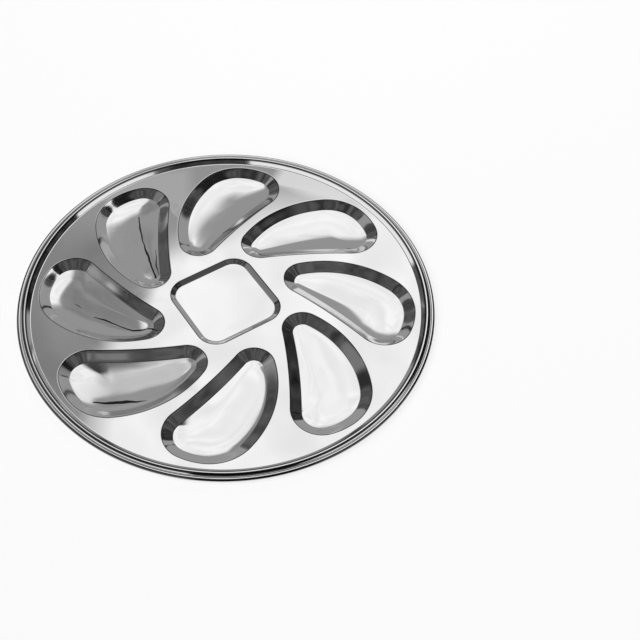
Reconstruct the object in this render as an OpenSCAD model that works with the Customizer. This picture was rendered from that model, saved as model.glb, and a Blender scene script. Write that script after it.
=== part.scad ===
// Oyster plate pressed from one round of thin stainless sheet.
// A flat deck carries eight sunken wells that lean round the centre like a pinwheel,
// and one shallow rounded square in the middle. The rim rises to a round crest, drops
// into a groove and ends in a rolled edge.
// Frame: +Z up, origin on the axis in the plane that the wells rest on. Millimetres.

/* [Sheet] */
// Diameter over the rolled edge
plate_d = 250; // [240:1:300]
// Thickness of the sheet
sheet_t = 0.7; // [0.5:0.05:0.9]

/* [Rim] */
// Width of the rim, from the rolled edge in to the flat deck
rim_w = 8.3; // [8:0.1:11]
// Height of the crest above the deck
rim_h = 2.9; // [2.7:0.1:3.8]
// Distance from the outermost edge in to the crest line
crest_in = 4.5; // [4.4:0.1:4.8]
// Radius of the crest
crest_r = 1.6; // [1.2:0.1:1.8]
// Radius of the fillet between the deck and the rim
foot_r = 1; // [0.8:0.1:1.3]
// Radius of the groove between the crest and the rolled edge
groove_r = 0.8; // [0.6:0.1:1.2]
// Diameter of the rolled edge
roll_d = 2.7; // [2.3:0.1:3]
// Drop from the top of the crest to the top of the rolled edge
roll_drop = 0.9; // [0.6:0.1:1.2]
// Angle that the roll is turned under, past the outermost edge
roll_under = 140; // [60:5:150]

/* [Well outline] */
// Number of wells
well_count = 8; // [4:1:8]
// Gap between a well's lip and the foot of the rim
well_margin = 2.5; // [1.2:0.1:5]
// Turn of the first well's tip from the +Y axis
well_turn = 18; // [0:1:45]
// Lean of a well's long axis away from the radius
well_lean = 56.5; // [54:0.5:59]
// Length from the centre of the tip to the centre of the broad end
well_span = 57; // [54:0.5:59]
// Radius of the narrow tip
tip_r = 12.8; // [11:0.1:13.5]
// Radius of the broad end
end_r = 17.5; // [16:0.1:18.5]
// Radius of the shoulder beside the broad end
shoulder_r = 29.5; // [27.5:0.1:30.5]
// Width from the well's long axis to the outermost point of the shoulder
shoulder_w = 32; // [30.5:0.1:33.5]
// Gap between the shoulder's circle and the outermost point of the broad end
shoulder_in = 1.5; // [0:0.1:4]
// Radius of the brow, the side between the broad end and the shoulder
brow_r = 41.5; // [38:0.5:46]
// Radius of the back, the long side between the shoulder and the tip
back_r = 67; // [60:1:75]
// Radius of the front, the slightly hollow side between the tip and the broad end
front_r = 300; // [200:10:600]

/* [Pressing] */
// Radius of the bend at a lip
lip_r = 1.5; // [1:0.1:2]
// Radius of the bend where a wall meets its floor
toe_r = 2; // [1:0.1:3]
// Slope of the walls
wall_a = 28; // [24:1:32]
// Width of a well's wall, seen from above
well_wall_w = 7.2; // [6:0.1:8]
// Depth of a well below the deck, at its deepest
well_depth = 4.7; // [4.4:0.1:5.4]
// Slope of a well's floor beside the wall
floor_a = 9; // [6:1:12]
// Sag of the floor at the tip, below the foot of the wall
sag_tip = 0.5; // [0.3:0.1:0.8]
// Length of the flat land that a well rests on
land_l = 12; // [8:1:20]
// Width of the land
land_w = 4; // [3:0.5:6]

/* [Centre recess] */
// Width across the flats of the rounded square
centre_w = 56; // [48:1:58]
// Radius of its corners
centre_r = 13; // [9:0.5:16]
// Turn of its flats from the X axis
centre_turn = 30; // [0:1:89]
// Width of its wall, seen from above
centre_wall_w = 4.2; // [3.6:0.1:5]

/* [Hidden] */
$fn = 180;

// Steps of the arcs, coarse where a bend is small
BEND_STEPS = 2;
RIM_STEP_A = 11;
CORNER_STEPS = 5;
TIP_STEPS = 4;
FRONT_STEPS = 7;
END_STEPS = 7;
BROW_STEPS = 4;
SHOULDER_STEPS = 5;
BACK_STEPS = 9;
// Depth of the block that trims the underside at the rest plane
TRIM_H = 1;
// Extra depth of the underside, cut away again to leave the flat land
LAND_TRIM = 0.05;

function dir(a) = [cos(a), sin(a)];
function angle_of(v) = atan2(v[1], v[0]);
function turn_to(from, to) = (to - from + 720) % 360;
function reversed(list) = [for (i = [len(list) - 1:-1:0]) list[i]];

// Point at distance ra from a and rb from b, on the left of the way from a to b
function meet(a, ra, b, rb) =
    let (v = b - a, l = norm(v), x = (ra * ra - rb * rb + l * l) / (2 * l))
    a + (x * v + sqrt(ra * ra - x * x) * [-v[1], v[0]]) / l;

function arc(c, r, from, to) =
    let (n = ceil(abs(to - from) / RIM_STEP_A))
    [for (i = [0:n]) c + r * dir(from + (to - from) * i / n)];

// Section through a pressed wall, from the lip inwards: plan distance and height.
// o is the depth below the top face, measured square to the sheet.
function wall_section(wall_w, floor_slope, o) =
    let (
        run = wall_w - lip_r * sin(wall_a) - toe_r * (sin(wall_a) - sin(floor_slope)),
        lip_end = lip_r * [sin(wall_a), cos(wall_a) - 1],
        toe_top = lip_end + run * [1, -tan(wall_a)],
        toe_c = toe_top + toe_r * [sin(wall_a), cos(wall_a)]
    )
    concat(
        [for (i = [0:BEND_STEPS])
            let (a = wall_a * i / BEND_STEPS)
            [0, -lip_r] + (lip_r - o) * [sin(a), cos(a)]],
        [for (i = [0:BEND_STEPS])
            let (a = wall_a + (floor_slope - wall_a) * i / BEND_STEPS)
            toe_c - (toe_r + o) * [sin(a), cos(a)]]
    );
function last(list) = list[len(list) - 1];
function wall_drop(wall_w, floor_slope) = -last(wall_section(wall_w, floor_slope, 0))[1];

plate_r = plate_d / 2;
deck_r = plate_r - rim_w;
deck_z = well_depth + sheet_t;
sag_end = well_depth - wall_drop(well_wall_w, floor_a);

// Centres of the rim's arcs, and the slope between its first two
foot_c = [deck_r, deck_z + foot_r];
crest_c = [plate_r - crest_in, deck_z + rim_h - crest_r];
roll_c = [plate_r - roll_d / 2, deck_z + rim_h - roll_drop - roll_d / 2];
groove_c = meet(crest_c, crest_r + groove_r, roll_c, roll_d / 2 + groove_r);
rise_a = angle_of(crest_c - foot_c) + asin((foot_r + crest_r) / norm(crest_c - foot_c));

// One face of the rim's section, o below the top face
function rim_face(o) = concat(
    arc(foot_c, foot_r + o, -90, rise_a - 90),
    arc(crest_c, crest_r - o, rise_a + 90, angle_of(groove_c - crest_c)),
    arc(groove_c, groove_r + o, angle_of(crest_c - groove_c) + 360, angle_of(roll_c - groove_c) + 360),
    arc(roll_c, roll_d / 2 - o, angle_of(groove_c - roll_c), -roll_under)
);

// Outlines run anticlockwise from above. Each entry is a point and the way inwards,
// so that a ring any distance inside the lip is worked out from the same list.
function side(c, r, from, sweep, n, inwards) =
    [for (i = [0:n - 1])
        let (a = from + sweep * i / n)
        [c + r * dir(a), inwards * dir(a)]];
function ring(outline, d) = [for (p = outline) p[0] + d * p[1]];
function at_height(points, z) = [for (p = points) [p[0], p[1], z]];

// Well: centres of the corners and sides, with the tip at the origin and its axis along X
tip_c = [0, 0];
end_c = [well_span, 0];
shoulder_c = [well_span + end_r - shoulder_in - shoulder_r, shoulder_w - shoulder_r];
front_c = meet(end_c, front_r + end_r, tip_c, front_r + tip_r);
brow_c = meet(end_c, brow_r - end_r, shoulder_c, brow_r - shoulder_r);
back_c = meet(shoulder_c, back_r - shoulder_r, tip_c, back_r - tip_r);
tip_from = angle_of(tip_c - back_c);
tip_sweep = turn_to(tip_from, angle_of(front_c - tip_c));
end_from = angle_of(front_c - end_c);
brow_from = angle_of(end_c - brow_c);
shoulder_from = angle_of(shoulder_c - brow_c);
back_from = angle_of(shoulder_c - back_c);

well_outline = concat(
    side(tip_c, tip_r, tip_from + tip_sweep / 2, tip_sweep / 2, TIP_STEPS, -1),
    side(front_c, front_r, angle_of(tip_c - front_c),
        angle_of(end_c - front_c) - angle_of(tip_c - front_c), FRONT_STEPS, 1),
    side(end_c, end_r, end_from, turn_to(end_from, brow_from), END_STEPS, -1),
    side(brow_c, brow_r, brow_from, turn_to(brow_from, shoulder_from), BROW_STEPS, -1),
    side(shoulder_c, shoulder_r, shoulder_from, turn_to(shoulder_from, back_from), SHOULDER_STEPS, -1),
    side(back_c, back_r, back_from, turn_to(back_from, tip_from), BACK_STEPS, -1),
    side(tip_c, tip_r, tip_from, tip_sweep / 2, TIP_STEPS, -1)
);

// Distance of the tip's centre from the plate's centre, so that the brow clears the rim
brow_lean = [
    brow_c[0] * cos(well_lean) + brow_c[1] * sin(well_lean),
    brow_c[1] * cos(well_lean) - brow_c[0] * sin(well_lean)
];
well_ring_r = sqrt(pow(deck_r - well_margin - brow_r, 2) - pow(brow_lean[1], 2)) - brow_lean[0];

// The floor sags to a narrow strip along its middle, from the tip's centre to the belly
belly = [shoulder_c[0], (shoulder_w - end_r) / 2];
function along_floor(p) = min(1, max(0, (p * belly) / (belly * belly)));
function strip_point(p) =
    let (q = along_floor(p) * belly, v = p - q)
    q + land_w / 2 * v / norm(v);
// A smooth way from 0 to 1, level at both ends
function ease(u) = u * u * (3 - 2 * u);
function sag(p) =
    sag_tip + (sag_end - sag_tip) * ease(min(1, along_floor(p) / (1 - land_l / norm(belly))));

// A ring of a well's floor, a part of the way from the foot of the wall to the strip. The
// floor leaves the wall at its own slope and comes level at the strip.
function floor_ring(toe, z, extra, part) =
    [for (p = toe)
        let (
            v = strip_point(p) - p,
            q = p + part * v,
            fall = tan(floor_a) * norm(v)
        )
        [q[0], q[1], z - fall * part * pow(1 - part, 2) - (sag(p) + extra) * ease(part)]];

function wall_rings(outline, section) =
    [for (s = section) at_height(ring(outline, s[0]), deck_z + s[1])];
function flat_of(points) = [for (p = points) [p[0], p[1]]];

function well_rings(o, extra) =
    let (
        walls = wall_rings(well_outline, wall_section(well_wall_w, floor_a, o)),
        toe = flat_of(last(walls)),
        z = last(walls)[0][2]
    )
    concat(walls, [for (part = [0.5, 1]) floor_ring(toe, z, extra, part)]);

// Centre recess: four corner arcs, joined by straight flats
corner_c = centre_w / 2 - centre_r;
centre_outline = [for (k = [0:3], i = [0:CORNER_STEPS])
    let (a = 90 * (k + i / CORNER_STEPS), q = 90 * k + 45)
    [corner_c * sqrt(2) * dir(q) + centre_r * dir(a), -dir(a)]];
function centre_rings(o) = wall_rings(centre_outline, wall_section(centre_wall_w, 0, o));

// Closed solid through rings of equal length, from the top one down. A flat last ring is
// closed by one face, and any other by strips between its two sides.
module skin(rings, flat_end) {
    n = len(rings[0]);
    base = (len(rings) - 1) * n;
    sides = [for (j = [0:len(rings) - 2], i = [0:n - 1], half = [0, 1])
        let (a = j * n + i, b = j * n + (i + 1) % n)
        half == 0 ? [a, b, b + n] : [a, b + n, a + n]];
    flat_cap = [[for (i = [0:n - 1]) base + i]];
    folded_cap = [for (i = [0:n / 2 - 1], half = [0, 1])
        if (half == 0 ? i < n / 2 - 1 : i > 0)
        half == 0 ? [base + i, base + i + 1, base + n - i - 1] : [base + i, base + n - i - 1, base + n - i]];
    polyhedron(
        points = [for (r = rings, p = r) p],
        faces = concat(sides, [[for (i = [n - 1:-1:0]) i]], flat_end ? flat_cap : folded_cap),
        convexity = 6
    );
}

// What a recess takes out of the deck, and the boss that its underside makes below it.
// The recess runs on above the deck at the slope that it has at its lip.
module recess(rings, flat_end) {
    inner = [for (i = [1:len(rings) - 1]) rings[i]];
    above = [for (i = [0:len(rings[0]) - 1]) 2 * rings[0][i] - rings[1][i]];
    skin(concat([above], inner), flat_end);
}
module boss(rings, flat_end) {
    inner = [for (i = [1:len(rings) - 1]) rings[i]];
    skin(concat([at_height(flat_of(inner[0]), deck_z - sheet_t / 2)], inner), flat_end);
}

module round_wells() {
    for (k = [0:well_count - 1])
        rotate(90 + well_turn + k * 360 / well_count)
            translate([well_ring_r, 0, 0])
                rotate(-well_lean)
                    children();
}

module deck_and_rim() {
    rotate_extrude()
        polygon(concat(
            [[0, deck_z]],
            rim_face(0),
            reversed(rim_face(sheet_t)),
            [[0, deck_z - sheet_t]]
        ));
}

module plate() {
    color("silver")
        difference() {
            union() {
                deck_and_rim();
                round_wells() boss(well_rings(sheet_t, LAND_TRIM), false);
                rotate(centre_turn) boss(centre_rings(sheet_t), true);
            }
            round_wells() recess(well_rings(0, 0), false);
            rotate(centre_turn) recess(centre_rings(0), true);
            translate([-plate_r, -plate_r, -TRIM_H]) cube([plate_d, plate_d, TRIM_H]);
        }
}

plate();
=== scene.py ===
# %% [markdown]
# # A steel oyster plate, bend by bend
#
# The plate is one round of thin stainless steel. A press sinks eight wells and one shallow
# square into it, and the edge is rolled under. This lesson makes that sheet as one closed
# mesh. It could be sculpted, or cut from the solid with booleans, but a mirror finish shows
# every uneven facet. So each face of the sheet is swept through the few bends that the press
# tool has, and the mesh is dense only where the metal turns.

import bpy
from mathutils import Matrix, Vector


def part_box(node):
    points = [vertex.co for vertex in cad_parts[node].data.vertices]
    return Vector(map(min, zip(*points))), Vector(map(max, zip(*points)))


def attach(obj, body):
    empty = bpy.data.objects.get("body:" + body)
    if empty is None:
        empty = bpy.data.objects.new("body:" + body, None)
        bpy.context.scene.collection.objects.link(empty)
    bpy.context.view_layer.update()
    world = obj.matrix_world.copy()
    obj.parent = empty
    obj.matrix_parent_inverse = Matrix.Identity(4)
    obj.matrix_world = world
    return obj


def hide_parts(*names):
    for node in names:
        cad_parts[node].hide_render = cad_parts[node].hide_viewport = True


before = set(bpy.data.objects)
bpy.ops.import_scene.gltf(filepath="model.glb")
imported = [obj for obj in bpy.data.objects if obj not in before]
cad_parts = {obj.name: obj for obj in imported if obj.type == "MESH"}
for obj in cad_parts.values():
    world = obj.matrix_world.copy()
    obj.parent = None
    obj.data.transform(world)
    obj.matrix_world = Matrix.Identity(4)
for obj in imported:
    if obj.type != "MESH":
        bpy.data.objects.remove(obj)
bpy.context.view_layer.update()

# %% [markdown]
# ## The camera
#
# The photograph looks down on the plate from the front at about fifty degrees. Eight equal
# wells make a good target for finding where a camera stood: only one eye point and one focal
# length put all of them in their places. The plate stands left of the middle of the picture,
# so the lens is shifted sideways and not turned, which keeps the ellipse of the rim true.

# %% Camera
import math
import bmesh
import bpy
import numpy as np
from mathutils import Matrix, Quaternion, Vector

MM = 0.001
IMAGE_W = 640
FOCAL_PX = 1073
CENTRE_PX = 225
SENSOR_MM = 36
EYE = Vector((3.9, -407.4, 507.4)) * MM
AIM = Vector((-0.3, -15.3, 5.4)) * MM
ROLL_DEG = -1.95


def make_camera():
    """A camera at the eye point, with the plate's own axis left of the middle."""
    data = bpy.data.cameras.new("camera")
    data.sensor_width = SENSOR_MM
    data.lens = FOCAL_PX / IMAGE_W * SENSOR_MM
    data.shift_x = (IMAGE_W / 2 - CENTRE_PX) / IMAGE_W
    camera = bpy.data.objects.new("camera", data)
    camera.rotation_mode = "QUATERNION"
    camera.location = EYE
    turn = (AIM - EYE).to_track_quat("-Z", "Y")
    camera.rotation_quaternion = turn @ Quaternion((0, 0, 1), math.radians(ROLL_DEG))
    bpy.context.scene.collection.objects.link(camera)
    bpy.context.scene.camera = camera
    return camera


camera = make_camera()
print(f"lens {camera.data.lens:.1f} mm, eye {EYE.length:.3f} m from the plate")

# %% [markdown]
# ## Bends
#
# Sheet metal is flat stretches joined by round bends. On a drawing each bend is an arc with a
# centre and a radius, and the other face of the sheet has the same centre with the radius
# changed by the thickness. Working with arcs has two gains over a spline: the sheet keeps
# its thickness everywhere, and neighbouring pieces meet without a kink.

# %% Arcs in a plane
SHEET_T = 0.7


def unit(degrees):
    """Unit vectors in these directions."""
    a = np.radians(degrees)
    return np.stack([np.cos(a), np.sin(a)], -1)


def angle(v):
    """Direction of a vector, in degrees."""
    return math.degrees(math.atan2(v[1], v[0]))


def meet(a, a_r, b, b_r):
    """The point at a_r from a and b_r from b, on the left of the way from a to b."""
    v = b - a
    far = np.linalg.norm(v)
    x = (a_r**2 - b_r**2 + far**2) / (2 * far)
    return a + (x * v + math.sqrt(a_r**2 - x**2) * np.array([-v[1], v[0]])) / far


def bend(centre, radius, start, stop, step):
    """Points of an arc, no more than step degrees apart."""
    n = max(1, math.ceil(abs(stop - start) / step))
    return np.asarray(centre) + radius * unit(np.linspace(start, stop, n + 1))


print("an arc of 90 degrees in steps of 10 has", len(bend((0, 0), 1, 0, 90, 10)), "points")

# %% [markdown]
# ## The rim
#
# From the flat deck the sheet rises to a rounded crest, drops into a narrow groove and ends
# in a rolled edge that is turned under, so that no cut metal can be touched. The section is
# four arcs. A lathe sweep is the right tool, because the real rim is round as well. The outer
# diameter and the height come from the frame, so this sheet fits the solid exactly.

# %% Section of the rim, in millimetres
low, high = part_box("plate")
PLATE_R = -low.x / MM
RIM_H = 2.9
DECK_Z = high.z / MM - RIM_H
RIM_W = 8.3
DECK_R = PLATE_R - RIM_W
FOOT_R = 1
CREST_IN = 4.5
CREST_R = 1.6
GROOVE_R = 0.8
ROLL_R = 1.35
ROLL_DROP = 0.9
ROLL_UNDER = 140
SAME_POINT = 0.001

foot_c = np.array([DECK_R, DECK_Z + FOOT_R])
crest_c = np.array([PLATE_R - CREST_IN, DECK_Z + RIM_H - CREST_R])
roll_c = np.array([PLATE_R - ROLL_R, DECK_Z + RIM_H - ROLL_DROP - ROLL_R])
groove_c = meet(crest_c, CREST_R + GROOVE_R, roll_c, ROLL_R + GROOVE_R)
to_crest = crest_c - foot_c
rise = angle(to_crest) + math.degrees(math.asin((FOOT_R + CREST_R) / np.linalg.norm(to_crest)))


def rim_face(depth, step):
    """One face of the rim's section, this deep below the upper face of the sheet."""
    groove_in, groove_out = angle(crest_c - groove_c) + 360, angle(roll_c - groove_c) + 360
    arcs = [
        bend(foot_c, FOOT_R + depth, -90, rise - 90, step),
        bend(crest_c, CREST_R - depth, rise + 90, angle(groove_c - crest_c), step),
        bend(groove_c, GROOVE_R + depth, groove_in, groove_out, step),
        bend(roll_c, ROLL_R - depth, angle(groove_c - roll_c), -ROLL_UNDER, step),
    ]
    points = np.concatenate(arcs)
    apart = np.linalg.norm(np.diff(points, axis=0), axis=1) > SAME_POINT
    return points[np.concatenate([[True], apart])]


print(f"deck at {DECK_Z:.2f} mm, wall of the rim rises at {rise:.1f} degrees")

# %% [markdown]
# ## The outline of a well
#
# Seen from above, a well is a leaf with a narrow tip, a broad end, a bulging back and a front
# that is slightly hollow. A spline through measured points would copy the wobble of the
# measuring. The press tool was drawn with a compass, so six arcs that touch without a corner
# give the true shape, and each point also knows the way inwards, for the wall to follow.

# %% Outline of a well, in millimetres
TIP_R, END_R, SHOULDER_R, BROW_R, BACK_R, FRONT_R = 12.8, 17.5, 29.5, 41.5, 67, 300
OUTLINE_STEP = 1.3
tip_c = np.array([0.0, 0.0])
end_c = np.array([57.0, 0.0])
shoulder_c = np.array([43.5, 2.5])
front_c = meet(end_c, FRONT_R + END_R, tip_c, FRONT_R + TIP_R)
brow_c = meet(end_c, BROW_R - END_R, shoulder_c, BROW_R - SHOULDER_R)
back_c = meet(shoulder_c, BACK_R - SHOULDER_R, tip_c, BACK_R - TIP_R)


def side(centre, radius, start, sweep, inwards):
    """Points of one arc of the outline, and the way into the well at each."""
    n = 2 * max(1, round(abs(math.radians(sweep)) * radius / OUTLINE_STEP / 2))
    out = unit(start + sweep * np.arange(n) / n)
    return np.concatenate([centre + radius * out, inwards * out], 1)


def well_outline():
    """Rows of x, y and the way inwards, once round from the point of the tip."""
    tip_a, front_a = angle(tip_c - back_c), angle(front_c - tip_c)
    tip_turn = (front_a - tip_a) % 360
    end_a, brow_a = angle(front_c - end_c), angle(end_c - brow_c)
    shoulder_a, back_a = angle(shoulder_c - brow_c), angle(shoulder_c - back_c)
    leave, land = angle(tip_c - front_c), angle(end_c - front_c)
    return np.concatenate([
        side(tip_c, TIP_R, tip_a + tip_turn / 2, tip_turn / 2, -1),
        side(front_c, FRONT_R, leave, land - leave, 1),
        side(end_c, END_R, end_a, (brow_a - end_a) % 360, -1),
        side(brow_c, BROW_R, brow_a, (shoulder_a - brow_a) % 360, -1),
        side(shoulder_c, SHOULDER_R, shoulder_a, (back_a - shoulder_a) % 360, -1),
        side(back_c, BACK_R, back_a, (tip_a - back_a) % 360, -1),
        side(tip_c, TIP_R, tip_a, tip_turn / 2, -1),
    ])


outline = well_outline()
print("outline of a well:", len(outline), "points")

# %% [markdown]
# ## Walls and floors
#
# A wall leaves the deck through a small round lip, runs down straight and turns into the
# floor through a slightly larger bend. That section is swept round the outline. The floor
# then sags on to a narrow strip, deepest under the belly of the well, where the plate stands.
# Rings that shrink from the wall to the strip follow it, and keep the quads in line with the
# curves, so the reflections flow round the well as they do in pressed metal.

# %% Section of a wall
LIP_R, TOE_R = 1.5, 2
WALL_A = math.radians(28)
WALL_W, CENTRE_WALL_W = 7.2, 4.2
FLOOR_A = math.radians(9)
WALL_STEPS = 3
UPPER_STEP, LOWER_STEP = 5, 7


def wall_section(wall_w, floor_a, depth, step):
    """Distance in from the lip and height from the deck, from the lip to the floor."""
    s, c = math.sin(WALL_A), math.cos(WALL_A)
    run = wall_w - LIP_R * s - TOE_R * (s - math.sin(floor_a))
    toe_top = np.array([LIP_R * s + run, LIP_R * (c - 1) - run * s / c])
    toe_c = toe_top + TOE_R * np.array([s, c])
    tilt, floor_tilt = math.degrees(WALL_A), math.degrees(floor_a)
    lip = bend((0, -LIP_R), LIP_R - depth, 90, 90 - tilt, step)
    toe = bend(toe_c, TOE_R + depth, 270 - tilt, 270 - floor_tilt, step)
    share = np.linspace(0, 1, WALL_STEPS + 1)[1:-1, None]
    return np.concatenate([lip, lip[-1] + share * (toe[0] - lip[-1]), toe])


section = wall_section(WALL_W, FLOOR_A, 0, UPPER_STEP)
print(f"the foot of a well's wall is {-section[-1, 1]:.2f} mm below the deck")

# %% Rings of a well
BELLY = np.array([shoulder_c[0], (shoulder_c[1] + SHOULDER_R - END_R) / 2])
LAND_L, LAND_W = 12, 4
SAG_TIP = 0.5
SAG_END = DECK_Z - SHEET_T + section[-1, 1]
UNDER_EXTRA = 0.05
SUPPORT = 0.25
UPPER_RINGS, LOWER_RINGS = 8, 5


def wall_rings(edge, rows):
    """The outline moved in by each row of the section, at that row's height."""
    return [np.c_[edge[:, :2] + d * edge[:, 2:], np.full(len(edge), DECK_Z + z)] for d, z in rows]


def ease(u):
    """A smooth way from 0 to 1, level at both ends."""
    return u * u * (3 - 2 * u)


def floor_rings(foot, extra, steps):
    """Rings from the foot of the wall to the strip that the floor sags to."""
    along = np.clip(foot[:, :2] @ BELLY / (BELLY @ BELLY), 0, 1)
    middle = along[:, None] * BELLY
    out = foot[:, :2] - middle
    way = middle + LAND_W / 2 * out / np.linalg.norm(out, axis=1)[:, None] - foot[:, :2]
    fall = math.tan(FLOOR_A) * np.linalg.norm(way, axis=1)
    sag = SAG_TIP + (SAG_END - SAG_TIP) * ease(np.minimum(1, along / (1 - LAND_L / np.linalg.norm(BELLY))))
    rings = []
    for s in np.linspace(0, 1, steps + 1)[1:]:
        z = foot[:, 2] - fall * s * (1 - s) ** 2 - (sag + extra) * ease(s)
        rings.append(np.c_[foot[:, :2] + s * way, z])
    return rings


def well_rings(depth, step, floor_steps):
    """One face of a well, from a ring on the deck just outside the lip to the strip."""
    rows = wall_section(WALL_W, FLOOR_A, depth, step)
    walls = wall_rings(outline, np.concatenate([[[-SUPPORT, -depth]], rows]))
    rings = np.array(walls + floor_rings(walls[-1], UNDER_EXTRA if depth else 0, floor_steps))
    rings[..., 2] = np.maximum(rings[..., 2], 0)
    return rings


upper_well = well_rings(0, UPPER_STEP, UPPER_RINGS)
lower_well = well_rings(SHEET_T, LOWER_STEP, LOWER_RINGS)
print("rings of a well:", len(upper_well), "above and", len(lower_well), "below")

# %% [markdown]
# ## The pinwheel
#
# One well is copied eight times round the axis, each leaning the same way from the radius.
# How far out it sits follows from the gap between its brow and the foot of the rim, as on
# the drawing of a press tool. The rounded square in the middle is made by the same section,
# with a flat floor.

# %% Places of the wells and the square
WELL_COUNT = 8
WELL_MARGIN = 2.5
WELL_TURN, WELL_LEAN = 18, 56.5
CENTRE_HALF, CENTRE_R, CENTRE_TURN = 28, 13, 30
CENTRE_STEPS = 14


def turned(points, degrees):
    """Points turned about the upright axis."""
    (x_x, x_y), (y_x, y_y) = unit(degrees), unit(degrees + 90)
    return points @ np.array([[x_x, x_y, 0], [y_x, y_y, 0], [0, 0, 1]])


lean_x, lean_y, _ = turned(np.array([*brow_c, 0]), -WELL_LEAN)
RING_R = math.sqrt((DECK_R - WELL_MARGIN - BROW_R) ** 2 - lean_y**2) - lean_x


def place(rings, k):
    """A well's rings, moved to the place of the k-th well."""
    leaning = turned(rings, -WELL_LEAN) + np.array([RING_R, 0, 0])
    return turned(leaning, 90 + WELL_TURN + k * 360 / WELL_COUNT)


def square_rings(depth, step):
    """One face of the square in the middle."""
    a = np.array([90 * k + 90 * i / CENTRE_STEPS for k in range(4) for i in range(CENTRE_STEPS + 1)])
    corner = np.repeat(90 * np.arange(4) + 45, CENTRE_STEPS + 1)
    centres = (CENTRE_HALF - CENTRE_R) * math.sqrt(2) * unit(corner)
    edge = np.c_[centres + CENTRE_R * unit(a), -unit(a)]
    rows = wall_section(CENTRE_WALL_W, 0, depth, step)
    return turned(np.array(wall_rings(edge, np.concatenate([[[-SUPPORT, -depth]], rows]))), CENTRE_TURN)


print(f"the tips' centres lie {RING_R:.2f} mm from the axis")

# %% [markdown]
# ## Sewing the sheet together
#
# The mesh has three kinds of part: swept strips for the rim, the walls and the floors, flat
# fills for the deck and the floor of the square, and a fold that closes the strip in the
# middle of each well. A flat deck with nine holes is awkward to draw by hand, but a triangle
# fill makes it from its edges alone. The deck's fill ends a little way off each bend, on a
# support ring that still lies flat. It keeps the smooth shading of the bend from bleeding
# over the flat metal, which would show at once in a mirror.

# %% A mesh builder
LATHE_STEPS = 320
WELD = 0.002


def circle(radius, z):
    """A loop of the lathe's steps."""
    return np.c_[radius * unit(np.arange(LATHE_STEPS) * 360 / LATHE_STEPS), np.full(LATHE_STEPS, z)]


class Sheet:
    """Collects strips and fills, in millimetres, and welds them into one mesh."""

    def __init__(self):
        self.mesh = bmesh.new()

    def rings(self, grid):
        """Quads between closed rings of equal length."""
        rows = [[self.mesh.verts.new(p) for p in ring] for ring in grid]
        for upper, lower in zip(rows, rows[1:]):
            for i in range(len(upper)):
                self.mesh.faces.new((upper[i - 1], upper[i], lower[i], lower[i - 1]))

    def fold(self, ring):
        """Closes a ring by rungs from one of its sides to the other."""
        verts = [self.mesh.verts.new(p) for p in ring]
        n = len(verts)
        for i in range(n // 2):
            corners = [verts[i], verts[i + 1], verts[(n - i - 1) % n], verts[(n - i) % n]]
            self.mesh.faces.new(list(dict.fromkeys(corners)))

    def fill(self, loops):
        """Flat faces inside the first loop and outside the others."""
        edges = []
        for loop in loops:
            verts = [self.mesh.verts.new(p) for p in loop]
            edges += [self.mesh.edges.new((verts[i - 1], verts[i])) for i in range(len(verts))]
        bmesh.ops.triangle_fill(self.mesh, use_beauty=True, use_dissolve=False, edges=edges)

    def lathe(self, profile):
        """Sweeps a profile of radius and height round the axis."""
        self.rings([circle(r, z) for r, z in profile])

    def piece(self, name):
        """Welds, scales to metres and returns the object."""
        bmesh.ops.remove_doubles(self.mesh, verts=self.mesh.verts, dist=WELD)
        bmesh.ops.recalc_face_normals(self.mesh, faces=self.mesh.faces)
        open_edges = sum(not e.is_manifold for e in self.mesh.edges)
        self.mesh.transform(Matrix.Scale(MM, 4))
        data = bpy.data.meshes.new(name)
        self.mesh.to_mesh(data)
        data.shade_smooth()
        print(f"{name}: {len(data.polygons)} faces, {open_edges} open edges")
        made = bpy.data.objects.new(name, data)
        bpy.context.scene.collection.objects.link(made)
        return made


print(f"{LATHE_STEPS} steps round the axis, welded within {WELD} mm")

# %% Both faces of the sheet
UPPER_RIM_STEP, LOWER_RIM_STEP = 9, 12


def add_face(sheet, depth, well, step):
    """The upper face at depth 0, or the lower one a sheet's thickness below it."""
    wells = [place(well, k) for k in range(WELL_COUNT)]
    square = square_rings(depth, step)
    border = circle(DECK_R - SUPPORT, DECK_Z - depth)
    sheet.fill([border, square[0], *[rings[0] for rings in wells]])
    for rings in wells:
        sheet.rings(rings)
        sheet.fold(rings[-1])
    sheet.rings(square)
    sheet.fill([square[-1]])


sheet = Sheet()
add_face(sheet, 0, upper_well, UPPER_STEP)
add_face(sheet, SHEET_T, lower_well, LOWER_STEP)
upper_rim, lower_rim = rim_face(0, UPPER_RIM_STEP), rim_face(SHEET_T, LOWER_RIM_STEP)
start, stop = (DECK_R - SUPPORT, DECK_Z), (DECK_R - SUPPORT, DECK_Z - SHEET_T)
sheet.lathe([start, *upper_rim, *lower_rim[::-1], stop])
plate = sheet.piece("pressed_plate")

# %% [markdown]
# ## Working with shader nodes
#
# A finish needs some arithmetic on masks and noise. Placing Math nodes one by one hides what
# they say, so a small class lets a socket be used in a sum. Everything that isn't a sum goes
# through one method that makes a node, sets it up and feeds its sockets.

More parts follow.
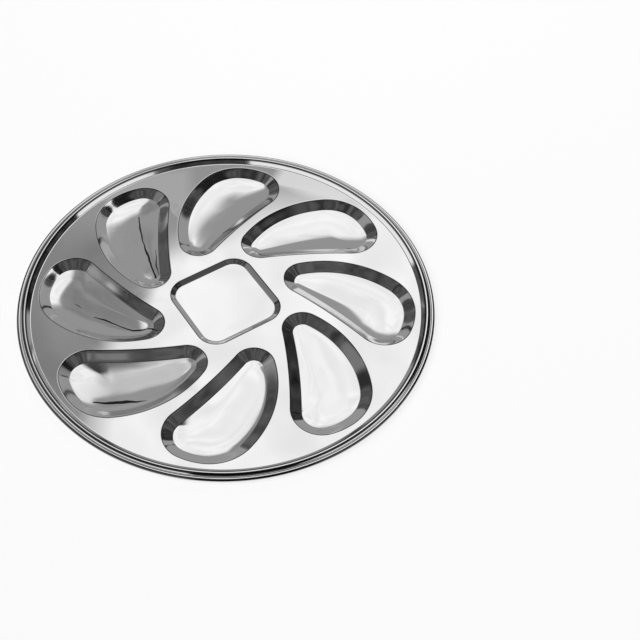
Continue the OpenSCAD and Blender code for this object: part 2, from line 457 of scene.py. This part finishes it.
# %% A socket that can be used in a sum
class Value:
    """A number that changes over the surface."""

    def __init__(self, paint, socket):
        self.paint, self.socket = paint, socket

    def math(self, operation, *numbers):
        """A Math node on these numbers."""
        return self.paint.value("ShaderNodeMath", {"operation": operation}, dict(enumerate(numbers)))

    def __add__(self, other):
        return self.math("ADD", self, other)

    def __sub__(self, other):
        return self.math("SUBTRACT", self, other)

    def __rsub__(self, other):
        return self.math("SUBTRACT", other, self)

    def __mul__(self, other):
        return self.math("MULTIPLY", self, other)

    def __pow__(self, other):
        return self.math("POWER", self, other)

    def __lt__(self, other):
        return self.math("LESS_THAN", self, other)

    def __abs__(self):
        return self.math("ABSOLUTE", self)

    def or_more(self, other):
        """The larger of the two."""
        return self.math("MAXIMUM", self, other)

    __radd__ = __add__
    __rmul__ = __mul__


print("a value can stand in a sum, a product, a power, a comparison and abs")

# %% A material that nodes are added to
class Paint:
    """A material, and the one way to add a node to it."""

    def __init__(self, name):
        self.material = bpy.data.materials.new(name)
        self.material.use_nodes = True
        self.tree = self.material.node_tree
        self.tree.nodes.clear()

    def node(self, kind, settings=None, sockets=None):
        """Makes a node, applies its settings, then feeds its sockets."""
        made = self.tree.nodes.new(kind)
        for name, setting in (settings or {}).items():
            if name == "stops":
                self.set_stops(made.color_ramp, setting)
            else:
                setattr(made, name, setting)
        for name, given in (sockets or {}).items():
            if isinstance(given, Value):
                self.tree.links.new(given.socket, made.inputs[name])
            elif isinstance(given, bpy.types.NodeSocket):
                self.tree.links.new(given, made.inputs[name])
            else:
                made.inputs[name].default_value = given
        return made

    def set_stops(self, ramp, stops):
        """Stops are pairs of a place and a grey level."""
        while len(ramp.elements) > 1:
            ramp.elements.remove(ramp.elements[-1])
        for i, (at, level) in enumerate(stops):
            element = ramp.elements[0] if i == 0 else ramp.elements.new(at)
            element.position = at
            element.color = (level, level, level, 1)

    def value(self, kind, settings=None, sockets=None, output=0):
        """Makes a node and returns one of its outputs, ready for a sum."""
        return Value(self, self.node(kind, settings, sockets).outputs[output])

    def parts(self, vector):
        """The three numbers of a vector."""
        split = self.node("ShaderNodeSeparateXYZ", {}, {0: vector})
        return [Value(self, socket) for socket in split.outputs]

    def fading(self, value, full, none):
        """A mask that is 1 up to the first of the two numbers, and 0 from the second on."""
        return self.value("ShaderNodeMapRange", {}, {
            "Value": value, "From Min": full, "From Max": none, "To Min": 1.0, "To Max": 0.0})

    def mix(self, share, first, second):
        """The first shader where the share is 0, and the second where it is 1."""
        return self.node("ShaderNodeMixShader", {}, {0: share, 1: first.outputs[0], 2: second.outputs[0]})

    def show(self, shader):
        """Sends a shader to the surface."""
        self.node("ShaderNodeOutputMaterial", sockets={"Surface": shader.outputs[0]})
        return self.material


print("paint helpers:", ", ".join(name for name in vars(Paint) if not name.startswith("_")))

# %% [markdown]
# ## Painted reflections in the steel
#
# The metal itself is plain: a bright grey that tints nothing. Its colour also carries painted light. Fine
# dark lines in the tight bends of the rim and the lips stand in for dark reflections and, in the groove,
# for shade. Thin dark streaks across a few wells also stand in for dark reflections, and they have no depth
# in the mesh. A line round the rim could be painted on a texture, but it is simply all that lies near one
# point of the rim's section, so a distance in radius and height gives it. A streak is what lies near a few
# straight stretches, with a little noise on its place, so that it isn't ruled.

# %% Painted dark reflections and shade in the bends
# Each painted line of dark reflection round the rim, or of shade in its groove: its place in the rim's
# section, its width in millimetres and its darkness
RIM_PAINTED_REFLECTIONS = [
    (crest_c + CREST_R * unit(90 + 45), 0.90, 0.68),
    (crest_c + CREST_R * unit(90 - 36), 0.80, 0.75),
    (groove_c + [0.3, -0.7], 0.40, 0.40),
    (roll_c + ROLL_R * unit(48), 0.80, 0.72),
]
# A painted dark reflection just below each lip: how deep it lies, its half width, where it ends and its
# darkness
LIP_LINE_DEEP = 0.14
LIP_LINE_HALF, LIP_LINE_END = 0.08, 0.14
LIP_REFLECTION_DARK = 0.62


def length(a, b):
    """How long the slant of a right triangle with these sides is."""
    return (a * a + b * b) ** 0.5


def painted_rim_reflections(paint, radius, z):
    """How much darker the painted reflections and shade round the rim are."""
    dark = 0.0
    for (r, level), width, darkness in RIM_PAINTED_REFLECTIONS:
        away = length(radius - r * MM, z - level * MM)
        dark = paint.fading(away, width * MM / 2, width * MM) * darkness + dark
    return dark


def painted_lip_reflection(paint, radius, z):
    """How much darker the painted dark reflection at the lips of the wells is, a little below the deck and
    inside the rim.
    """
    away = abs(z - (DECK_Z - LIP_LINE_DEEP) * MM)
    line = paint.fading(away, LIP_LINE_HALF * MM, LIP_LINE_END * MM)
    return line * (radius < (DECK_R - FOOT_R) * MM) * LIP_REFLECTION_DARK


print(len(RIM_PAINTED_REFLECTIONS), "lines round the rim and one round each lip")

# %% Painted dark streaks
# Points along each painted dark streak, which stands in for a dark reflection, with its width there, in
# millimetres
PAINTED_STREAKS = [
    [(-54.7, 74.7, 0.5), (-54.0, 65.3, 1.0), (-51.5, 52.7, 0.6), (-48.6, 42.8, 1.2), (-44.2, 27.6, 0.8),
     (-42.7, 22.5, 1.2)],
    [(-43.2, 45.4, 0.1), (-42.4, 32.9, 0.7), (-40.8, 24.4, 0.2)],
    [(-79.2, -7.1, 0.3), (-72.1, -9.4, 1.1), (-63.8, -14.3, 0.5), (-55.2, -18.7, 1.1), (-51.1, -18.3, 1.2),
     (-47.3, -17.5, 0.5), (-43.5, -17.8, 1.0), (-39.7, -21.7, 0.2)],
    [(-91.6, 3.6, 0.1), (-89.5, 1.8, 0.5), (-87.4, 0.2, 0.1)],
    [(-75.5, -69.2, 0.8), (-66.5, -69.5, 1.8), (-57.0, -68.9, 2.2), (-51.5, -69.2, 1.2),
     (-45.6, -68.9, 0.2)],
    [(-0.8, 57.5, 0.3), (3.0, 59.5, 1.0), (7.5, 61.3, 0.3)],
]
STREAK_DARK = 0.74
STREAK_EDGE_IN, STREAK_EDGE_OUT = 0.1, 0.2
STREAK_SHAKE, SHAKE_SCALE = 1.4, 140.0


def stretch(paint, x, y, start, stop):
    """A mask along one straight stretch. Its ends are x, y and the width there."""
    (a_x, a_y, a_w), (b_x, b_y, b_w) = np.array([start, stop]) * MM
    way_x, way_y = b_x - a_x, b_y - a_y
    span = way_x**2 + way_y**2
    along = (x - a_x) * (way_x / span) + (y - a_y) * (way_y / span)
    share = paint.value("ShaderNodeClamp", {}, {"Value": along})
    away = length(x - a_x - share * way_x, y - a_y - share * way_y)
    wider = share * ((b_w - a_w) / 2)
    return paint.fading(away - wider, a_w / 2 - STREAK_EDGE_IN * MM, a_w / 2 + STREAK_EDGE_OUT * MM)


def painted_streaks(paint, here, x, y):
    """How much darker the painted streaks, which stand in for dark reflections, are."""
    noise = paint.node("ShaderNodeTexNoise", {}, {"Vector": here, "Scale": SHAKE_SCALE, "Detail": 1.0})
    shake_x, shake_y, _ = paint.parts(noise.outputs["Color"])
    near_x = x + (shake_x - 0.5) * (STREAK_SHAKE * MM)
    near_y = y + (shake_y - 0.5) * (STREAK_SHAKE * MM)
    dark = 0.0
    for points in PAINTED_STREAKS:
        for start, stop in zip(points, points[1:]):
            dark = stretch(paint, near_x, near_y, start, stop).or_more(dark)
    return dark * STREAK_DARK


# Counts the painted dark streaks and their straight stretches
print(len(PAINTED_STREAKS), "creases in", sum(len(points) - 1 for points in PAINTED_STREAKS), "stretches")

# %% [markdown]
# ## Polished steel
#
# A mirror of one even roughness looks like plastic film. Handling leaves faint smears that
# are a little duller, and the press leaves the flat parts very slightly wavy, which bends the
# reflections. Both are far too small to model, so the smears go into the roughness and the
# wave into the bump, at their true size in metres.

# %% Polished steel
STEEL = 0.78
GLOSS, SMEAR_DULL = 0.06, 0.05
SMEAR_STOPS = [(0.45, 0), (0.75, 1)]
SMEAR_SCALE, WAVE_SCALE = 38.0, 22.0
WAVE_H = 0.05


def polished_steel():
    """Mirror steel with smears, a slight wave, and painted dark reflections in its bends and as streaks
    across a few wells.
    """
    paint = Paint("polished_steel")
    here = paint.node("ShaderNodeTexCoord").outputs["Object"]
    smears = paint.value("ShaderNodeTexNoise", {}, {
        "Vector": here, "Scale": SMEAR_SCALE, "Detail": 4.0, "Roughness": 0.6, "Distortion": 1.2})
    smear_mask = paint.value("ShaderNodeValToRGB", {"stops": SMEAR_STOPS}, {0: smears})
    wave = paint.value("ShaderNodeTexNoise", {}, {"Vector": here, "Scale": WAVE_SCALE, "Detail": 1.0})
    height = wave * (WAVE_H * MM)
    bump = paint.node("ShaderNodeBump", {}, {"Strength": 1.0, "Distance": 1.0, "Height": height})
    x, y, z = paint.parts(here)
    radius = length(x, y)
    # The steel grey is darkened by painted dark reflections: lines round the rim, with shade in its groove,
    # streaks across a few wells and a line at each lip.
    tone = STEEL - painted_rim_reflections(paint, radius, z) - painted_streaks(paint, here, x, y) - painted_lip_reflection(paint, radius, z)
    return paint.show(paint.node("ShaderNodeBsdfPrincipled", {}, {
        "Base Color": tone, "Metallic": 1.0, "Roughness": smear_mask * SMEAR_DULL + GLOSS,
        "Normal": bump.outputs[0]}))


plate.data.materials.append(polished_steel())
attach(plate, "root")
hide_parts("plate")
steel = plate.data.materials[0]
print(f"the sheet is {steel.name}, made of {len(steel.node_tree.nodes)} nodes")

# %% [markdown]
# ## The floor
#
# Polished metal has no look of its own: it shows the room. The plate lies on a white floor. A
# lamp strong enough to turn the floor white would burn out pale things on it, so the floor
# glows a little by itself where it is seen, also in the metal, and keeps its soft shadow.

# %% Floor
WHITE = (0.93, 0.93, 0.93, 1)
FLOOR_R = 3
FLOOR_DROP = 0.00005
FLOOR_GLOW = 0.6
SEEN_BY = "Is Camera Ray", "Is Glossy Ray", "Is Transmission Ray"


def stage_piece(name, points, faces, material):
    """Flat faces through these points, in metres."""
    data = bpy.data.meshes.new(name)
    data.from_pydata([tuple(p) for p in points], [], faces)
    data.materials.append(material)
    made = bpy.data.objects.new(name, data)
    bpy.context.scene.collection.objects.link(made)
    return made


def floor_white():
    """Matt white, lifted towards white where it is seen, so that its shadow stays soft."""
    paint = Paint("floor_white")
    path = paint.node("ShaderNodeLightPath")
    straight, mirrored, through = [Value(paint, path.outputs[name]) for name in SEEN_BY]
    share = (straight + mirrored + through) * FLOOR_GLOW
    matt = paint.node("ShaderNodeBsdfDiffuse", sockets={"Color": WHITE})
    glow = paint.node("ShaderNodeEmission", sockets={"Color": (1, 1, 1, 1), "Strength": 1.0})
    return paint.show(paint.mix(share, matt, glow))


edge = [(x, y, -FLOOR_DROP) for x, y in FLOOR_R * unit(np.arange(0, 360, 6))]
stage_piece("floor", edge, [range(len(edge))], floor_white())
print("floor of", 2 * FLOOR_R, "m across")

# %% [markdown]
# ## Soft cards
#
# Each wall of a well looks its own way, and a ray from the camera that is turned at the wall
# says where. A card is hung there, dark or grey or white, as a photographer does it. Lamps
# alone wouldn't do, because they can't turn a wall dark. A hard border would show as a
# line in the steel, so each card fades out from its corners to a second, outer border,
# and faint clouds on it keep its tone uneven. The cards are seen only in reflections.

# %% The light of a card
CLOUD_STOPS = 0.35, 0.65


def glowing(name, level, mottle, grain):
    """A level of light, mottled by a share of itself, that fades out where the mesh says so."""
    paint = Paint(name)
    fade = paint.value("ShaderNodeAttribute", {"attribute_name": "fade"}, output="Fac")
    here = paint.node("ShaderNodeTexCoord").outputs["Object"]
    cloud = paint.value("ShaderNodeTexNoise", {}, {
        "Vector": here, "Scale": grain, "Detail": 2.0, "Distortion": 0.8})
    stops = list(zip(CLOUD_STOPS, (level * (1 - mottle), level * (1 + mottle))))
    light = paint.value("ShaderNodeValToRGB", {"stops": stops}, {0: cloud})
    clear = paint.node("ShaderNodeBsdfTransparent")
    glow = paint.node("ShaderNodeEmission", sockets={"Color": light, "Strength": 1.0})
    return paint.show(paint.mix(fade, clear, glow))


print(f"clouds turn from dark to light between {CLOUD_STOPS[0]} and {CLOUD_STOPS[1]} of the noise")

# %% A card, level or upright
def card(name, level, corners, soft=0.04, mottle=0.0, grain=9.0, cover=1.0):
    """A card for reflections, soft beyond its corners. A cover below 1 lets the room show through."""
    inner = np.array(corners, float)
    away = inner - inner.mean(axis=0)
    reach = np.broadcast_to(soft, len(inner)) / np.linalg.norm(away, axis=1)
    outer = inner + reach[:, None] * away
    n = len(corners)
    border = [(i, (i + 1) % n, n + (i + 1) % n, n + i) for i in range(n)]
    material = glowing(name, level, mottle, grain)
    made = stage_piece(name, [*inner, *outer], [tuple(range(n)), *border], material)
    fade = made.data.attributes.new("fade", "FLOAT", "POINT")
    fade.data.foreach_set("value", [cover] * n + [0.0] * n)
    made.visible_camera = made.visible_diffuse = made.visible_shadow = False
    return made


def overhead(name, level, z, corners, **look):
    """A level card above the plate."""
    return card(name, level, [(x, y, z) for x, y in corners], **look)


def upright(name, level, start, stop, low, high, **look):
    """A card that stands on the line from start to stop."""
    return card(name, level, [(*start, low), (*stop, low), (*stop, high), (*start, high)], **look)


print("a card keeps its tone inside its corners and fades beyond them")

# %% [markdown]
# ## The panel and the cards above
#
# One large soft panel behind and above the plate turns the flat parts white. Its borders are
# worked out from the flat deck: the deck's white ends where the panel ends, so its left border
# runs where the left of the plate turns grey. It also lights the floor, as the real one would.
# The other cards hang a layer or more above or below it, because where two of them overlap,
# the steel shows the lower one.

# %% Panel
PANEL_Z = 0.65
LAYER = 0.01
PANEL_BORDER = [
    (-0.105, 0.515, 0.015), (-0.145, 0.45, 0.03), (-0.15, 0.30, 0.06), (-0.08, 0.16, 0.05),
    (0.04, 0.11, 0.02), (0.33, 0.20, 0.02), (0.36, 0.40, 0.02), (0.38, 0.68, 0.10), (0.04, 0.64, 0.11),
    (-0.09, 0.58, 0.05),
]

panel = overhead("panel", 1.10, PANEL_Z, [(x, y) for x, y, soft in PANEL_BORDER],
                 soft=[soft for x, y, soft in PANEL_BORDER], mottle=0.09, grain=14.0)
panel.visible_diffuse = True
print("panel of", len(PANEL_BORDER), "corners, each with its own softness")

# %% Cards above
overhead("card_edge", 0.015, PANEL_Z + LAYER,
         [(-0.14, 0.10), (-0.08, 0.03), (0.35, 0.03), (0.5, 0.15), (0.5, 0.35), (0.3, 0.3)])
overhead("card_grey", 0.22, PANEL_Z + 2 * LAYER,
         [(-0.44, 0.11), (-0.50, 0.06), (-0.70, 0.10), (-0.70, 0.30), (-0.52, 0.30)])
overhead("card_deep", 0.03, PANEL_Z + 2 * LAYER,
         [(-0.54, 0.36), (-0.68, 0.36), (-0.70, 0.50), (-0.58, 0.50)], soft=0.03)
overhead("card_overhead", 0.08, PANEL_Z + 3 * LAYER,
         [(-0.7, 0.2), (-0.62, -0.10), (-0.40, -0.42), (0.42, -0.42), (0.62, -0.20), (0.8, 0.0), (0.8, 0.3),
          (0.74, 0.40), (0.64, 0.52), (0.50, 0.52), (0.38, 0.40)], soft=0.03, mottle=0.6, grain=12.0)
overhead("card_patch", 0.24, PANEL_Z - 2 * LAYER,
         [(-0.19, -0.285), (-0.12, -0.285), (-0.12, -0.255), (-0.19, -0.255)], soft=0.01)
overhead("card_shade", 0.29, PANEL_Z + LAYER,
         [(-0.14, 0.28), (-0.30, 0.28), (-0.36, 0.56), (-0.32, 0.68), (-0.14, 0.62)],
         soft=0.05, mottle=0.15)
print("six cards above the plate")

# %% [markdown]
# ## The room
#
# The walls of the wells are steep enough to mirror the lower part of the room. Dark cards stand
# on the right, on the left and far behind, and turn them dark. White walls stand in front of the
# plate, where the near rim looks, with one dark card between them. Painting black and white on
# the steel would be simpler, but would stay in place when the camera moves.

# %% Cards that stand
CARD_TOP, WALL_TOP = 0.66, 1.35

upright("card_right", 0.035, (0.53, 0.56), (0.85, 0.0), 0.0, CARD_TOP, mottle=0.8, grain=22.0)
upright("card_left", 0.10, (-1.0, 0.17), (-0.40, 0.87), 0.0, CARD_TOP, mottle=0.4, grain=12.0)
upright("card_end", 0.06, (-0.78, 0.43), (-0.52, 0.73), 0.62, 0.95, mottle=0.4, grain=12.0)
upright("card_far", 0.03, (-0.8, 1.3), (0.8, 1.3), 0.54, 0.62, soft=0.03, mottle=0.5)
print("four dark cards")

# %% White walls
upright("room_left", 1.0, (-0.98, 0.12), (-0.30, -0.95), 0.0, WALL_TOP)
card("room_low", 1.0,
     [(-0.70, 0.42, 0.0), (-0.93, 0.05, 0.0), (-0.93, 0.05, CARD_TOP), (-0.70, 0.42, 0.36)])
card("room_front", 0.04,
     [(-0.28, -0.95, 0.0), (0.40, -0.95, 0.0), (0.80, -0.95, 0.7), (0.80, -0.95, WALL_TOP),
      (-0.28, -0.95, WALL_TOP)], soft=0.06, mottle=0.5, grain=6.0)
upright("room_back", 1.0, (0.30, -1.0), (0.90, -1.0), 0.0, WALL_TOP)
upright("room_right", 1.0, (0.88, -1.0), (1.10, -0.05), 0.0, WALL_TOP)
print("four white walls, and a dark card between them")

# %% [markdown]
# ## Small cards that hang low
#
# High above the plate, the rays from the flat deck and from a well's floor meet and cross, so
# a card there changes both. Close to the plate they are still apart. A small card that hangs
# low therefore acts on one place alone: two of these lighten the deck behind the far wells,
# and one dims the floor of a single well.

# %% Low cards
GLOW_Z, VEIL_Z = 0.03, 0.06

overhead("glow_right", 0.95, GLOW_Z,
         [(0.037, 0.122), (0.045, 0.136), (0.072, 0.124), (0.088, 0.110), (0.078, 0.106), (0.060, 0.114)],
         soft=0.008, cover=0.8)
overhead("glow_left", 0.55, GLOW_Z,
         [(-0.027, 0.104), (-0.034, 0.096), (-0.041, 0.110), (-0.060, 0.114), (-0.078, 0.110),
          (-0.080, 0.120), (-0.055, 0.132), (-0.028, 0.134)], soft=0.012, cover=0.6)
overhead("veil", 0.42, VEIL_Z, [(-0.070, -0.022), (-0.032, -0.022), (-0.028, -0.004), (-0.070, -0.002)],
         soft=0.016, cover=0.6)
print("three small cards close to the plate")

# %% [markdown]
# ## Lamp and world
#
# A broad lamp lights the floor and gives the plate its soft shadow. It is left out of the
# reflections, where it would be a bright disc. Whatever the cards leave open is a grey world.

# %% Lamp and world
WORLD_GREY = 0.36
LAMP_POWER = 2.3
LAMP_SPREAD_DEG = 50
LAMP_TILT_DEG = 35, -20, 0

world = bpy.data.worlds.new("room")
world.use_nodes = True
world.node_tree.nodes["Background"].inputs["Color"].default_value = (*[WORLD_GREY] * 3, 1)
bpy.context.scene.world = world

lamp = bpy.data.objects.new("key", bpy.data.lights.new("key", "SUN"))
lamp.data.energy = LAMP_POWER
lamp.data.angle = math.radians(LAMP_SPREAD_DEG)
lamp.rotation_euler = [math.radians(a) for a in LAMP_TILT_DEG]
lamp.visible_glossy = False
bpy.context.scene.collection.objects.link(lamp)
bpy.context.scene.view_settings.view_transform = "Standard"
print(f"a lamp of {LAMP_POWER}, and a world of grey {WORLD_GREY}")
